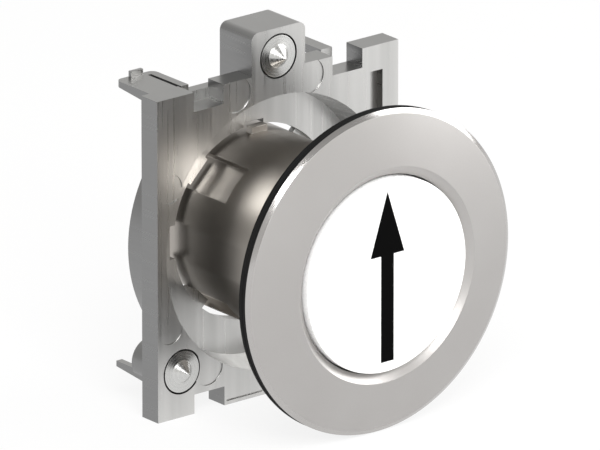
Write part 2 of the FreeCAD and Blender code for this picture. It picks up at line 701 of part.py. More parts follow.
def holder_body():
    """The die-cast holder: plate, cup round the barrel, screw block, bosses, rear arms and lugs."""
    body = new_body("holder_body")
    pad(body, plate_corners(), "holder_front_at", "holder_thickness")
    pad(body, rectangle("-block_half", "block_half", NOTCH_FLOOR, BLOCK_TOP), "holder_front_at", "block_depth")
    corners = []
    for side in (1, -1):
        corners += edges_along(body, FreeCAD.Vector(0, 1, 0), side * size("block_half"), 0, size(BLOCK_TOP))
    dress(body, "Fillet", corners, "block_rounding")
    round_pad(body, "0", "0", "cup_outer_radius", "holder_front_at", "cup_depth + cup_floor_thickness")
    for x, z in screw_places()[1:]:
        round_pad(body, x, z, "boss_radius", "holder_front_at", "boss_depth")
    holder_arms(body)
    revolve(body, "Groove", [
        ("0", "holder_front_at - seat_gap"),
        ("cup_mouth_radius", "holder_front_at - seat_gap"),
        ("cup_mouth_radius", "holder_front_at"),
        ("cup_floor_radius", CUP_FLOOR),
        (HOLDER_BORE, CUP_FLOOR),
        (HOLDER_BORE, CUP_BACK + " + seat_gap"),
        ("0", CUP_BACK + " + seat_gap"),
    ])
    lug_inner = WINDOW_FLOOR + " + lug_gap"
    lug_half = "window_half - lug_gap"
    lug = pad(body, rectangle("-(%s)" % lug_half, lug_half, lug_inner, HOLDER_BORE + " + lug_gap"),
              CUP_BACK + " - lug_thickness", "lug_thickness", 45)
    repeat_round(body, lug, 4)
    keyway_top = "barrel_radius + key_height + keyway_gap"
    notch_outer = HOLDER_BORE + " + side_notch_depth"
    floor_cuts = [
        rectangle("-key_half - keyway_gap", "key_half + keyway_gap", "barrel_radius", keyway_top),
        rectangle("-(%s)" % notch_outer, "-barrel_radius", "-flat_half", "flat_half"),
        rectangle("barrel_radius", notch_outer, "-flat_half", "flat_half"),
    ]
    for cut in floor_cuts:
        pocket(body, cut, CUP_FLOOR + " - seat_gap", "cup_floor_thickness + 2 * seat_gap")
    for x, z in screw_places():
        round_pocket(body, x, z, "clamp_shank_radius + seat_gap",
                     "holder_front_at", "holder_thickness + arm_length + seat_gap")
        round_pocket(body, x, z, "clamp_head_radius + clamp_head_gap",
                     "holder_front_at - seat_gap", "clamp_head_length + 2 * seat_gap")
    pocket(body, rectangle("tower_groove_left", "tower_groove_right", "-tower_groove_bottom", "tower_groove_top"),
           "holder_front_at - seat_gap", "tower_groove_depth + seat_gap")
    line_middle = "line_groove_inset - holder_half_height"
    line = rectangle("-line_groove_half", "line_groove_half",
                     line_middle + " - line_groove_width / 2", line_middle + " + line_groove_width / 2")
    pocket(body, line, "holder_front_at - seat_gap", "line_groove_depth + seat_gap")
    for x, z, radius in ejector_marks():
        round_pocket(body, x, z, radius, "holder_front_at - seat_gap", "mark_depth + seat_gap")


def ejector_marks():
    """The x, z and radius of the shallow round marks that the mould's ejector pins left in the plate's front."""
    top = "holder_half_height - top_mark_inset"
    side = "side_mark_inset - holder_half_width"
    return [
        ("-top_mark_left", top, "mark_radius"),
        ("top_mark_right", top, "mark_radius"),
        ("-low_mark_side", "low_mark_inset - holder_half_height", "mark_radius"),
        (side, "side_mark_height", "side_mark_radius"),
        (side, "-side_mark_height", "side_mark_radius"),
    ]


def arm(body, left, width, top, start=PLATE_REAR):
    """A tapered arm from the plate's rear, or from start, to the arms' end: thick at the root, thin at the tip."""
    tip = PLATE_REAR + " + arm_length"
    sketch = new_sketch(body, "YZ_Plane", left)
    root = "arm_root + (arm_tip - arm_root) * (%s - (%s)) / arm_length" % (start, PLATE_REAR)
    draw_outline(sketch, [
        (start, top),
        (start, "%s - (%s)" % (top, root)),
        (tip, top + " - arm_tip"),
        (tip, top),
    ])
    feature = body.newObject("PartDesign::Pad", body.Name + "_arm")
    feature.Profile = sketch
    feature.Length = size(width)
    feature.setExpression("Length", bound(width))


def holder_arms(body):
    """The web behind the plate's top, the top left arm with its rail and nub, the right rail, two lower arms."""
    tip = PLATE_REAR + " + arm_length"
    bridge_at = tip + " - arm_bridge"
    web_top = ARM_TOP + " - web_drop"
    web_left = "-(%s) - web_reach" % TOWER_INNER
    web_right = "rail_right_edge - rail_width / 2"
    pad(body, rectangle(web_left, web_right, NOTCH_FLOOR + " - web_drop", web_top), PLATE_REAR, "web_thickness")
    outer = "-(%s)" % ARM_OUTER
    inner = "-(%s)" % TOWER_INNER
    width = "tower_width - arm_side_inset"
    arm(body, outer, width, ARM_TOP)
    arm(body, inner + " + arm_slot", TOWER_INNER + " - arm_slot - rail_left_edge", ARM_TOP)
    arm(body, inner, "arm_slot", ARM_TOP, bridge_at)
    for x in (outer, "-rail_left_edge"):
        corner = edges_along(body, FreeCAD.Vector(0, 0, 1), size(x), size(tip), 0)
        dress(body, "Fillet", corner, "arm_rounding")
    nub_left = outer + " + nub_inset"
    pad(body, rectangle(nub_left, nub_left + " + nub_width", ARM_TOP + " - arm_tip / 2", ARM_TOP + " + nub_height"),
        tip + " - nub_thickness", "nub_thickness")
    arm(body, "rail_right_edge - rail_width", "rail_width", ARM_TOP)
    for left in (outer, TOWER_INNER):
        arm(body, left, width, "low_arm_inset - holder_half_height")


def screw_places():
    """The x and z of the three clamp screws: top, lower left, lower right."""
    side = "holder_half_width - low_screw_side_inset"
    low = "low_screw_inset - holder_half_height"
    return [
        ("0", BLOCK_TOP + " - top_screw_inset"),
        ("-(%s)" % side, low),
        (side, low),
    ]


def clamp_screw(name, x, z):
    """A clamp screw: a cone point on a round head, and a threaded shank with a hexagon socket behind."""
    body = new_body(name)
    back = "holder_front_at + clamp_screw_length"
    revolve(body, "Revolution", [
        ("0", "holder_front_at - cone_height"),
        ("cone_radius", "holder_front_at"),
        ("clamp_head_radius", "holder_front_at"),
        ("clamp_head_radius", "holder_front_at + clamp_head_length"),
        ("clamp_shank_radius", "holder_front_at + clamp_head_length"),
        ("clamp_shank_radius", back),
        ("0", back),
    ])
    corner = "hex_half / cos(30)"
    hexagon = [
        (corner, "0"),
        (corner + " / 2", "hex_half"),
        ("-" + corner + " / 2", "hex_half"),
        ("-" + corner, "0"),
        ("-" + corner + " / 2", "-hex_half"),
        (corner + " / 2", "-hex_half"),
    ]
    pocket(body, hexagon, back + " - hex_depth", "hex_depth + seat_gap")
    body.setExpression("Placement.Base.x", bound(x))
    body.setExpression("Placement.Base.z", bound(z))


for build in (
    front_bezel, panel_gasket, barrel, barrel_o_ring, bezel_snap_ring, button_cap, arrow_legend, seal_washer,
    lip_seal, plunger, front_guide_bush, stop_bumper, return_spring, spring_seat, rear_guide_bush,
    barrel_circlip, pusher, pusher_screw, holder_body,
):
    build()
for screw_name, (screw_x, screw_z) in zip(
    ("clamp_screw_top", "clamp_screw_lower_left", "clamp_screw_lower_right"), screw_places()
):
    clamp_screw(screw_name, screw_x, screw_z)

doc.recompute()

for item in doc.Objects:
    if "Invalid" in item.State or "Error" in item.State:
        raise RuntimeError("%s failed: %s" % (item.Name, item.State))
for piece in subparts:
    if piece.Shape.isNull() or not piece.Shape.isValid():
        raise RuntimeError("%s has no valid shape" % piece.Label)
    if len(piece.Shape.Solids) != 1:
        raise RuntimeError("%s has %d solids" % (piece.Label, len(piece.Shape.Solids)))

os.makedirs("parts", exist_ok=True)
for piece in subparts:
    piece.Shape.exportStep("parts/%s.step" % piece.Label)
    box = piece.Shape.BoundBox
    print("%-26s volume %9.1f  y %6.2f to %6.2f" % (piece.Label, piece.Shape.Volume, box.YMin, box.YMax))
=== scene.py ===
# %% [markdown]
# # A flush panel push button
#
# This lesson dresses a finished CAD model for a studio picture. The object is an industrial push button:
# a satin metal bezel with a white cap and a black arrow, a satin metal barrel behind it, and a die-cast
# holder that clamps the button to a panel with three cone point screws.
#
# The CAD model is the frame. It says where every piece is and how big it is, so nothing is placed by eye.
# Lengths here are written in millimetres and turned into metres, Blender's unit, in one place.

# %% Load the frame
import json
import math

import bmesh
import bpy
import numpy as np
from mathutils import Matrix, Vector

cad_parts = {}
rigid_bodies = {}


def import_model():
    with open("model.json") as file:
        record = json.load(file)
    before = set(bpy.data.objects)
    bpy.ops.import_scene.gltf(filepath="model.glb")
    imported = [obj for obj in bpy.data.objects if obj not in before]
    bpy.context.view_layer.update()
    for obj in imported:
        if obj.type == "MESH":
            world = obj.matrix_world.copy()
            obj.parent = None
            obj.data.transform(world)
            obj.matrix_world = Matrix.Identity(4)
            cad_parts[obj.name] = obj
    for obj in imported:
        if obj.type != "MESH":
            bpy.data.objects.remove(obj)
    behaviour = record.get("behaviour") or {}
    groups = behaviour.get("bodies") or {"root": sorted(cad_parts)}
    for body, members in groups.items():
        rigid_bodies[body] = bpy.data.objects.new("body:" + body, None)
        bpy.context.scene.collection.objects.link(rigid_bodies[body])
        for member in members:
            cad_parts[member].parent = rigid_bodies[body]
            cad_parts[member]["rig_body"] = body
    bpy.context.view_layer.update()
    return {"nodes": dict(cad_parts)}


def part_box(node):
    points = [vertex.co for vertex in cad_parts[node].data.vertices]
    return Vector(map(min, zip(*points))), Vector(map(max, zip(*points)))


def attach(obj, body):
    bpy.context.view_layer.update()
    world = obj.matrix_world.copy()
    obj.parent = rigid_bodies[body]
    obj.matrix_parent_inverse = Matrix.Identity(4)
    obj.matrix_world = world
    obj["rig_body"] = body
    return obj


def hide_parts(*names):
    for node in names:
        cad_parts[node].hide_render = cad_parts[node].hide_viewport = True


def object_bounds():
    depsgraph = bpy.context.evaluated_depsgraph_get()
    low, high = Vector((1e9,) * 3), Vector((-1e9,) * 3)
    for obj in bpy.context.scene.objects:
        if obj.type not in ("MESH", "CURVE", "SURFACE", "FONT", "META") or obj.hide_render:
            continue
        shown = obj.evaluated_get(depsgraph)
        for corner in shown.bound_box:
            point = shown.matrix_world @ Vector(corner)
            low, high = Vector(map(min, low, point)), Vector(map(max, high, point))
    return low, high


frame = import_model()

MM = 0.001
print("nodes:", len(frame["nodes"]))

# %% [markdown]
# ## Measures that come from the frame
#
# Each piece sits where its CAD node sits, so the front, the back and the radius of a turned piece are read from
# the node's box. The button's axis is Y: -Y is the front, +Y runs back into the cabinet, and +Z is up.


# %% Read sizes in millimetres
def front(node):
    """The y of a node's front, in millimetres."""
    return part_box(node)[0][1] / MM


def back(node):
    """The y of a node's rear, in millimetres."""
    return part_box(node)[1][1] / MM


def radius(node):
    """The outer radius of a round node about the button's axis, in millimetres: its highest z."""
    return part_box(node)[1][2] / MM


print("bezel radius %.2f, cap radius %.2f" % (radius("front_bezel"), radius("button_cap")))

# %% [markdown]
# ## Helpers for meshes
#
# Almost everything on this button was turned on a lathe or moulded round, so one helper carries a profile round
# the axis. Real edges are never knife sharp, and it is the tiny rounding that catches the light. So the profile's
# corners are first replaced by small curves.


# %% Round the corners of an outline
def rounded(corners, rounding, steps=5):
    """A closed outline whose corners are curves. Corner c becomes (1-t)^2 a + 2 t (1-t) c + t^2 b, where a and b
    lie on the corner's two edges, rounding away from c, or less where an edge is short."""
    corner = np.array(corners, float)
    backward = np.roll(corner, 1, axis=0) - corner
    forward = np.roll(corner, -1, axis=0) - corner
    back_length = np.linalg.norm(backward, axis=1)
    forward_length = np.linalg.norm(forward, axis=1)
    cut = np.minimum(rounding, 0.45 * np.minimum(back_length, forward_length))
    start = corner + backward * (cut / back_length)[:, None]
    end = corner + forward * (cut / forward_length)[:, None]
    t = np.linspace(0, 1, steps)[None, :, None]
    curve = (1 - t) ** 2 * start[:, None] + 2 * t * (1 - t) * corner[:, None] + t ** 2 * end[:, None]
    return curve.reshape(-1, 2)


# %% Make an object from points and faces
SMOOTH_BELOW = math.radians(28)


def new_piece(name, points, faces, body):
    """An object from points in millimetres. Doubled points are merged, normals face outwards, and an edge is
    drawn sharp where its faces turn more than SMOOTH_BELOW."""
    mesh = bpy.data.meshes.new(name)
    mesh.from_pydata((np.asarray(points) * MM).tolist(), [], faces.tolist() if hasattr(faces, "tolist") else faces)
    build = bmesh.new()
    build.from_mesh(mesh)
    bmesh.ops.remove_doubles(build, verts=build.verts, dist=0.0005 * MM)
    bmesh.ops.recalc_face_normals(build, faces=build.faces)
    build.to_mesh(mesh)
    build.free()
    mesh.shade_smooth()
    mesh.set_sharp_from_angle(angle=SMOOTH_BELOW)
    piece = bpy.data.objects.new(name, mesh)
    bpy.context.scene.collection.objects.link(piece)
    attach(piece, body)
    return piece


# %% Faces of a grid that closes on itself
def grid_faces(rows, columns, close_rows=True):
    """Quads between the points of a grid, numbered row by row. The columns always close; the rows close if asked."""
    last = rows if close_rows else rows - 1
    row, column = np.meshgrid(np.arange(last), np.arange(columns), indexing="ij")
    next_row = (row + 1) % rows
    next_column = (column + 1) % columns
    corners = [row * columns + column, row * columns + next_column,
               next_row * columns + next_column, next_row * columns + column]
    return np.stack(corners, axis=-1).reshape(-1, 4)


# %% Turn a profile round the button's axis
SEGMENTS = 256


def turned(name, profile, body, centre=(0.0, 0.0), segments=SEGMENTS):
    """A turned piece: profile point (r, y) at angle a goes to (cx + r cos a, y, cz + r sin a)."""
    profile = np.asarray(profile, float)
    angle = np.linspace(0, 2 * np.pi, segments, endpoint=False)
    r = profile[:, 0][:, None]
    x = centre[0] + r * np.cos(angle)
    z = centre[1] + r * np.sin(angle)
    y = np.broadcast_to(profile[:, 1][:, None], x.shape)
    points = np.stack([x, y, z], axis=-1).reshape(-1, 3)
    return new_piece(name, points, grid_faces(len(profile), segments), body)


# %% [markdown]
# ## Helpers for materials
#
# A finish is a small network of nodes. One function adds a node with its settings and its links, and one turns a
# colour written as sRGB hex, the way a paint chart gives it, into the linear numbers that the shader wants.
# Every pattern here starts as a noise on the object's own coordinates, sized in millimetres: a feature that is
# f millimetres wide needs the coordinates divided by f.


# %% Colours and nodes
def linear(code):
    """The linear colour of an sRGB hex code: c / 12.92 for small c, otherwise ((c + 0.055) / 1.055) ^ 2.4."""
    channels = [int(code[k:k + 2], 16) / 255 for k in (0, 2, 4)]
    return tuple(c / 12.92 if c <= 0.04045 else ((c + 0.055) / 1.055) ** 2.4 for c in channels) + (1.0,)


def add_node(material, kind, inputs=None, **settings):
    """Adds a node, sets its properties, and sets each input, by name or number, to a value or a link."""
    node = material.node_tree.nodes.new("ShaderNode" + kind)
    for name, value in settings.items():
        setattr(node, name, value)
    for name, value in (inputs or {}).items():
        if isinstance(value, bpy.types.NodeSocket):
            material.node_tree.links.new(value, node.inputs[name])
        else:
            node.inputs[name].default_value = value
    return node


def new_material(name):
    """An empty material with no nodes."""
    material = bpy.data.materials.new(name)
    material.use_nodes = True
    material.node_tree.nodes.clear()
    return material


def pattern(material, feature, detail=3.0):
    """A grey cloud between 0 and 1, whose features measure feature = (x, y, z) millimetres."""
    place = add_node(material, "TexCoord").outputs["Object"]
    scale = tuple(1 / (MM * size) for size in feature)
    place = add_node(material, "Mapping", {"Vector": place, "Scale": scale}).outputs["Vector"]
    return add_node(material, "TexNoise", {"Vector": place, "Scale": 1.0, "Detail": detail}).outputs["Fac"]


# %% [markdown]
# A Mix node that blends colours keeps them in sockets 6 and 7 and gives its result in socket 2, and one that blends
# numbers uses sockets 2 and 3. A noise rarely leaves 0.3 to 0.7, so that range is the one mapped to a finish.


# %% Name the Mix sockets and the noise's range
COLOUR_A, COLOUR_B, COLOUR_OUT = 6, 7, 2
NUMBER_A, NUMBER_B = 2, 3
CLOUD = {"From Min": 0.3, "From Max": 0.7}


# %% The end of every finish
def with_shader(material, colour, roughness, bump, constants):
    """Joins a Mix node's colour, a roughness socket and a Bump node to the Principled shader. The constants, such as
    Metallic, are the same all over the surface, so they are set on the shader's own sockets."""
    shader = add_node(material, "BsdfPrincipled", {
        "Base Color": colour.outputs[COLOUR_OUT],
        "Roughness": roughness,
        "Normal": bump.outputs["Normal"],
        **constants,
    })
    add_node(material, "OutputMaterial", {"Surface": shader.outputs["BSDF"]})
    return material


# %% [markdown]
# ## Satin bezel metal
#
# The bezel is a zinc ring whose face was bead blasted and plated: no lines, only a very fine even grain that spreads
# a reflection into a soft sheen. Its outer chamfer was cut afterwards, so it is bright and catches a thin line of
# light. A high roughness gives the sheen, a fine noise gives the grain, and the distance from the axis says where the
# cut chamfer starts. Real grains are about 0.05 mm, and they are drawn at 0.12 mm so that they still show.


# %% Satin bezel finish
def satin_plated_zinc(cut_radius):
    """Bead-blasted plated zinc, polished outside cut_radius: the distance from the axis is the length of (x, 0, z)."""
    material = new_material("satin_plated_zinc")
    grain = pattern(material, (0.12, 0.12, 0.12))
    clouds = pattern(material, (9, 9, 9), detail=2.0)
    colour = add_node(material, "Mix", {"Factor": clouds, COLOUR_A: linear("b2afad"), COLOUR_B: linear("bab8b6")},
                      data_type="RGBA")
    blasted = add_node(material, "MapRange", {"Value": grain, "To Min": 0.38, "To Max": 0.48, **CLOUD})
    place = add_node(material, "TexCoord").outputs["Object"]
    across = add_node(material, "VectorMath", {0: place, 1: (1, 0, 1)}, operation="MULTIPLY")
    distance = add_node(material, "VectorMath", {0: across.outputs["Vector"]}, operation="LENGTH")
    is_cut = add_node(material, "MapRange", {"Value": distance.outputs["Value"], "From Min": cut_radius * MM,
                                             "From Max": (cut_radius + 0.05) * MM})
    roughness = add_node(material, "Mix", {"Factor": is_cut.outputs["Result"],
                                           NUMBER_A: blasted.outputs["Result"], NUMBER_B: 0.16})
    bump = add_node(material, "Bump", {"Height": grain, "Distance": 0.004 * MM, "Strength": 0.5})
    return with_shader(material, colour, roughness.outputs[0], bump, {"Metallic": 1.0})


# %% [markdown]
# ## Turned barrel metal
#
# The barrel is turned from bar and plated. It is a satin grey that blurs the holder and the light tent, with faint
# rings where the tool passed. The rings depend on y alone, so the noise is stretched to one long feature round the
# barrel and 0.3 mm along it.


# %% Turned barrel finish
def turned_plated_steel():
    """Turned and plated steel: satin, warm grey, with faint rings along the axis."""
    material = new_material("turned_plated_steel")
    rings = pattern(material, (60, 0.3, 60))
    clouds = pattern(material, (5, 7, 5), detail=2.0)
    colour = add_node(material, "Mix", {"Factor": clouds, COLOUR_A: linear("a39e98"), COLOUR_B: linear("ada8a2")},
                      data_type="RGBA")
    roughness = add_node(material, "MapRange", {"Value": rings, "To Min": 0.29, "To Max": 0.37, **CLOUD})
    bump = add_node(material, "Bump", {"Height": rings, "Distance": 0.002 * MM, "Strength": 0.3})
    return with_shader(material, colour, roughness.outputs["Result"], bump, {"Metallic": 1.0})


# %% [markdown]
# ## Die-cast holder metal
#
# The holder is zinc pressed into a steel mould, then linished: its front was run against an upright belt, which
# leaves straight streaks from top to bottom. The streaks belong only to faces that look forwards. The faces that
# look sideways slid along the mould and have faint drag marks along the depth, and their colour is painted darker,
# as shade on the sides. The ones that look up or down keep a smooth cast skin. The masks are the parts of the
# surface normal along Y and along X.


# %% Linished casting finish
def linished_zinc_casting():
    """Cast zinc. Forward faces: streaks 0.28 mm wide and 30 mm tall. Side faces: a darker colour painted as shade, and
    marks 0.35 mm high and 14 mm deep. The normal (nx, ny, nz) picks the face: ny near -1 is forward, |nx| near 1 is
    sideways."""
    material = new_material("linished_zinc_casting")
    streaks = pattern(material, (0.28, 2.0, 30), detail=4.0)
    wide_streaks = pattern(material, (1.6, 4.0, 60), detail=2.0)
    drag = pattern(material, (5, 14, 0.35))
    facing = add_node(material, "TexCoord").outputs["Normal"]
    normal = add_node(material, "SeparateXYZ", {"Vector": facing})
    is_front = add_node(material, "MapRange", {"Value": normal.outputs["Y"], "From Min": -0.6, "From Max": -0.95})
    sideways = add_node(material, "Math", {0: normal.outputs["X"]}, operation="ABSOLUTE")
    # Painted shade: faces that look sideways get a darker colour, 878787 instead of b9b9b8, chosen by the normal's X.
    side_shade_mask = add_node(material, "MapRange", {"Value": sideways.outputs[0], "From Min": 0.35, "From Max": 0.95})
    skin_and_side_shade = add_node(material, "Mix", {"Factor": side_shade_mask.outputs["Result"], COLOUR_A: linear("b9b9b8"),
                                      COLOUR_B: linear("878787")}, data_type="RGBA")
    ground = add_node(material, "Mix", {"Factor": wide_streaks, COLOUR_A: linear("bebebc"),
                                        COLOUR_B: linear("dddcda")}, data_type="RGBA")
    colour = add_node(material, "Mix", {"Factor": is_front.outputs["Result"], COLOUR_A: skin_and_side_shade.outputs[COLOUR_OUT],
                                        COLOUR_B: ground.outputs[COLOUR_OUT]}, data_type="RGBA")
    marks = add_node(material, "Mix", {"Factor": is_front.outputs["Result"], NUMBER_A: drag, NUMBER_B: streaks})
    roughness = add_node(material, "MapRange", {"Value": marks.outputs[0], "To Min": 0.26, "To Max": 0.36, **CLOUD})
    bump = add_node(material, "Bump", {"Height": marks.outputs[0], "Distance": 0.008 * MM, "Strength": 0.4})
    return with_shader(material, colour, roughness.outputs["Result"], bump, {"Metallic": 1.0})


# %% [markdown]
# ## Plastics and rubber
#
# The cap and its arrow are moulded in plastic, one white and glossy, one black and duller. Moulded plastic is never
# quite flat, so a faint slow bump bends its highlights. The parts inside are nylon, and the gasket, seals and stop
# washer are black nitrile rubber, dull and slightly pitted.


# %% Plastic and rubber finishes
def moulded_plastic(name, dark, light, gloss, specular=0.5, feature=0.4, ripple=3.0, depth=0.003):
    """A moulded surface: a fine variation of tone and of gloss = (least, most) roughness, over ripples."""
    material = new_material(name)
    fine = pattern(material, (feature, feature, feature))
    ripples = pattern(material, (ripple, ripple, ripple), detail=2.0)
    colour = add_node(material, "Mix", {"Factor": fine, COLOUR_A: linear(dark), COLOUR_B: linear(light)},
                      data_type="RGBA")
    roughness = add_node(material, "MapRange", {"Value": fine, "To Min": gloss[0], "To Max": gloss[1], **CLOUD})
    bump = add_node(material, "Bump", {"Height": ripples, "Distance": depth * MM})
    constants = {"IOR": 1.5, "Specular IOR Level": specular}
    return with_shader(material, colour, roughness.outputs["Result"], bump, constants)


# %% [markdown]
# ## Screw and spring steel
#
# The clamp screws are turned from steel and zinc plated: their flat front shows very fine rings about the screw's
# own centre, which a wave texture draws from the distance to that centre. The rings, the spring and the washers
# are plain bright steel.


# %% Steel finishes
def plated_screw_steel(name, x, z):
    """Zinc-plated steel with faint turning rings about the point (x, z)."""
    material = new_material(name)
    place = add_node(material, "TexCoord").outputs["Object"]
    centred = add_node(material, "Mapping", {"Vector": place, "Location": (-x * MM, 0, -z * MM)}).outputs["Vector"]
    in_mm = add_node(material, "Mapping", {"Vector": centred, "Scale": (1 / MM, 0, 1 / MM)}).outputs["Vector"]
    rings = add_node(material, "TexWave", {"Vector": in_mm, "Scale": 0.8, "Distortion": 0.4, "Detail": 2.0},
                     wave_type="RINGS", rings_direction="SPHERICAL").outputs["Fac"]
    colour = add_node(material, "Mix", {"Factor": rings, COLOUR_A: linear("c9c9c7"), COLOUR_B: linear("cfcfcd")},
                      data_type="RGBA")
    roughness = add_node(material, "MapRange", {"Value": rings, "To Min": 0.24, "To Max": 0.28})
    bump = add_node(material, "Bump", {"Height": rings, "Distance": 0.001 * MM, "Strength": 0.05})
    return with_shader(material, colour, roughness.outputs["Result"], bump, {"Metallic": 1.0})


def bright_spring_steel():
    """Drawn spring steel: bright, with fine scratches."""
    material = new_material("bright_spring_steel")
    scratches = pattern(material, (0.2, 0.2, 2.0))
    colour = add_node(material, "Mix", {"Factor": scratches, COLOUR_A: linear("8d8d8e"), COLOUR_B: linear("a2a2a4")},
                      data_type="RGBA")
    roughness = add_node(material, "MapRange", {"Value": scratches, "To Min": 0.25, "To Max": 0.4, **CLOUD})
    bump = add_node(material, "Bump", {"Height": scratches, "Distance": 0.004 * MM, "Strength": 0.4})
    return with_shader(material, colour, roughness.outputs["Result"], bump, {"Metallic": 1.0})


# %% Make the finishes once
satin = satin_plated_zinc(radius("front_bezel") - 0.6)
barrel_steel = turned_plated_steel()
casting = linished_zinc_casting()
white_plastic = moulded_plastic("white_polycarbonate", "f2f2f2", "f7f7f7", (0.24, 0.32))
black_plastic = moulded_plastic("black_legend_plastic", "020202", "050505", (0.5, 0.6), specular=0.03)
nylon = moulded_plastic("grey_nylon", "5c5d5f", "68696b", (0.42, 0.5))
rubber = moulded_plastic("nitrile_rubber", "080808", "131313", (0.7, 0.85), specular=0.2, feature=0.15, ripple=0.15,
                         depth=0.01)
spring_steel = bright_spring_steel()
print("finishes:", sorted(m.name for m in bpy.data.materials))

# %% [markdown]
# ## The bezel
#
# The bezel is one turned ring: a thin rim with a bright chamfer, a face that rises very slightly towards the cap,
# a bevel that leads down to the cap, and behind it the collar that centres the button in the panel's hole.
# It is a single profile carried round the axis, so it has no seams. Its corners are rounded by 0.08 mm, which is
# what draws the thin light line round the rim.

# %% The bezel's profile and surface
EDGE = 0.08
rim_radius = radius("front_bezel")
face_front = front("front_bezel")
gasket_front = front("panel_gasket")
collar_end = back("front_bezel")
collar_radius = 15.0
collar_wall = 1.2
undercut = 0.3
bore_radius = radius("button_cap") + 0.2
face_inner_radius = 13.3
bezel_bore_back = 2.3
snap_groove = (4.2, 4.9, 0.5)
bevel_depth = 0.9
chamfer_width = 0.6
chamfer_height = 0.4
rim_edge = 0.02
rim_edge_width = 0.05
collar_chamfer = 0.3


def bezel_profile():
    """The outline of the bezel's section: (radius, y), going round the solid."""
    inner = collar_radius - collar_wall
    groove_front, groove_back, bite = snap_groove
    corners = [
        (bore_radius, face_front + bevel_depth),
        (face_inner_radius, face_front),
        (rim_radius - chamfer_width, gasket_front - chamfer_height),
        (rim_radius, gasket_front - rim_edge),
        (rim_radius - rim_edge_width, gasket_front),
        (collar_radius - undercut, gasket_front),
        (collar_radius - undercut, 0.0),
        (collar_radius, 0.0),
        (collar_radius, collar_end - collar_chamfer),
        (collar_radius - collar_chamfer, collar_end),
        (inner, collar_end),
        (inner, groove_back),
        (inner + bite, groove_back),
        (inner + bite, groove_front),
        (inner, groove_front),
        (inner, bezel_bore_back),
        (bore_radius, bezel_bore_back),
    ]
    return rounded(corners, EDGE)


bezel = turned("bezel_ring", bezel_profile(), "head", segments=360)
bezel.data.materials.append(satin)
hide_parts("front_bezel")
print("bezel faces:", len(bezel.data.polygons))

# %% [markdown]
# ## The panel gasket
#
# A flat rubber ring under the rim keeps water out. It ends level with the rim, all but 0.02 mm, so that it shows as
# a black band behind the metal, and a fine groove runs round the middle of its edge.

# %% The gasket
GASKET_GROOVE = 0.15
SEAT_GAP = 0.1
gasket_radius = rim_radius - 0.02
gasket_back = back("panel_gasket")
gasket_middle = (gasket_front + gasket_back) / 2
gasket_corners = [
    (collar_radius + SEAT_GAP, gasket_front),
    (gasket_radius, gasket_front),
    (gasket_radius, gasket_middle - GASKET_GROOVE),
    (gasket_radius - GASKET_GROOVE, gasket_middle),
    (gasket_radius, gasket_middle + GASKET_GROOVE),
    (gasket_radius, gasket_back),
    (collar_radius + SEAT_GAP, gasket_back),
]
gasket = turned("gasket_ring", rounded(gasket_corners, 0.1), "head")
gasket.data.materials.append(rubber)
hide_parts("panel_gasket")
print("gasket from y %.2f to %.2f" % (gasket_front, gasket_back))

# %% [markdown]
# ## The cap and its arrow
#
# The cap is a shallow white dish that fills the bezel. The arrow is moulded flush into its face: here it is a thin
# black plate whose front is a hundredth of a millimetre proud, so that the two faces never fight for the same
# place. A plate cut from an outline is the simplest way to keep the arrow's edges truly straight.

# %% The cap
PROUD = 0.01
cap_radius = radius("button_cap")
cap_front = front("button_cap") + PROUD
cap_wall = 1.2
cap_rim_back = front("button_cap") + 2.2
hub_radius = 3.0
cap_corners = [
    (0.0, cap_front),
    (cap_radius, cap_front),
    (cap_radius, cap_rim_back),
    (cap_radius - cap_wall, cap_rim_back),
    (cap_radius - cap_wall, cap_front + cap_wall),
    (hub_radius, cap_front + cap_wall),
    (hub_radius, back("button_cap")),
    (0.0, back("button_cap")),
]
cap_rounding = np.array([0, 0.25, 0.1, 0.1, 0.1, 0.1, 0.1, 0])
cap = turned("cap_disc", rounded(cap_corners, cap_rounding), "button")
cap.data.materials.append(white_plastic)
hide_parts("button_cap")
print("cap radius %.2f" % cap_radius)

# %% The arrow
arrow_low, arrow_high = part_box("arrow_legend")
arrow_head_half = arrow_high[0] / MM
arrow_tip = arrow_high[2] / MM
arrow_foot = arrow_low[2] / MM
arrow_head_base = 2.6
arrow_shaft_half = 0.97
PLATE_SUNK = 0.3


def plate(name, outline, y_front, y_back, body):
    """A flat plate: the outline (x, z) at two depths, joined by a band of quads."""
    outline = np.asarray(outline, float)
    count = len(outline)
    layers = [np.column_stack([outline[:, 0], np.full(count, y), outline[:, 1]]) for y in (y_front, y_back)]
    sides = grid_faces(2, count, close_rows=False).tolist()
    caps = [list(range(count)), list(range(2 * count - 1, count - 1, -1))]
    return new_piece(name, np.vstack(layers), sides + caps, body)


arrow_outline = [
    (-arrow_shaft_half, arrow_foot),
    (arrow_shaft_half, arrow_foot),
    (arrow_shaft_half, arrow_head_base),
    (arrow_head_half, arrow_head_base),
    (0.0, arrow_tip),
    (-arrow_head_half, arrow_head_base),
    (-arrow_shaft_half, arrow_head_base),
]
arrow = plate("arrow_plate", arrow_outline, front("arrow_legend"), cap_front + PLATE_SUNK, "button")
arrow.data.materials.append(black_plastic)
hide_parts("arrow_legend")
print("arrow %.1f mm tall" % (arrow_tip - arrow_foot))

# %% [markdown]
# ## The barrel and the holder
#
# These two are milled and cast shapes with pockets, lugs and arms, and the CAD model already has each of them
# right. What it lacks is softness: every edge is a knife. So the CAD mesh is copied, its loose triangles are
# joined, flat areas become single faces, and a Bevel modifier rounds each edge by the amount a casting or a
# deburred part has. Weighted normals then keep the flat faces flat.


# %% Soften a CAD node's edges
EDGE_ANGLE = math.radians(35)
FLAT_ANGLE = math.radians(0.5)


